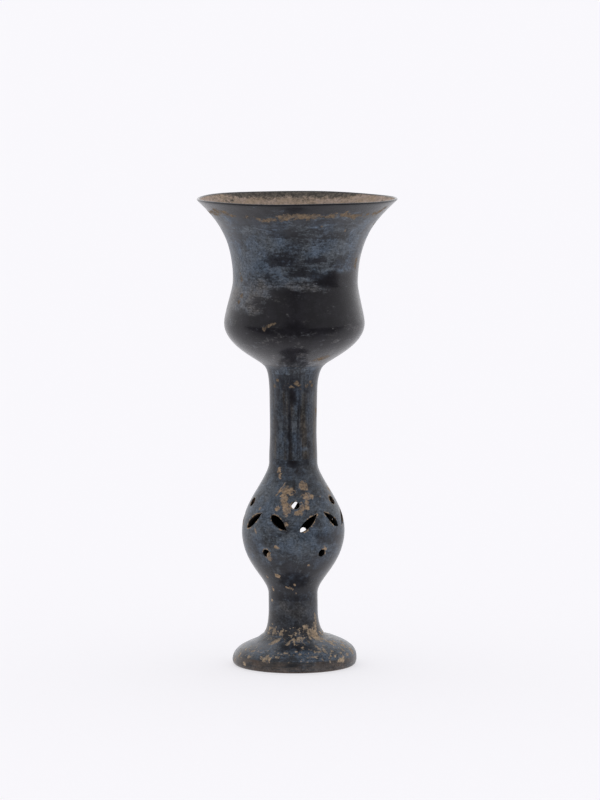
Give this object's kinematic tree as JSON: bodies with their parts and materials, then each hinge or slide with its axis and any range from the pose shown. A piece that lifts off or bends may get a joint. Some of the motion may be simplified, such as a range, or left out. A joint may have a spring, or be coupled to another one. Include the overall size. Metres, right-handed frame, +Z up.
{
  "type": "stem cup",
  "caption": "Stem cup of thin black earthenware: a flared bowl on a hollow stem that swells into a pierced bulb, standing on a domed foot.",
  "frame": {"origin": "centre of the standing ring, on the table", "axes": "+Z up along the cup's axis; the front of the cup in the picture is -Y and its right side +X"},
  "size_m": [0.076, 0.076, 0.1799],
  "materials": {
    "bowl_clay": "burnished black earthenware, worn to blue-grey, with earth in the bowl",
    "stem_clay": "satin black earthenware with upright smoothing marks",
    "bulb_clay": "satin blue-grey earthenware with earth round the piercings",
    "foot_clay": "worn dark grey earthenware with pale scratches",
    "slip": "fired slip of the same clay"
  },
  "bodies": {
    "root": {"foot": "foot_clay", "foot_lute": "slip", "lower_stem": "stem_clay", "lower_bulb_lute": "slip", "bulb": "bulb_clay", "upper_bulb_lute": "slip", "upper_stem": "stem_clay", "bowl_lute": "slip", "bowl": "bowl_clay"}
  },
  "joints": []
}
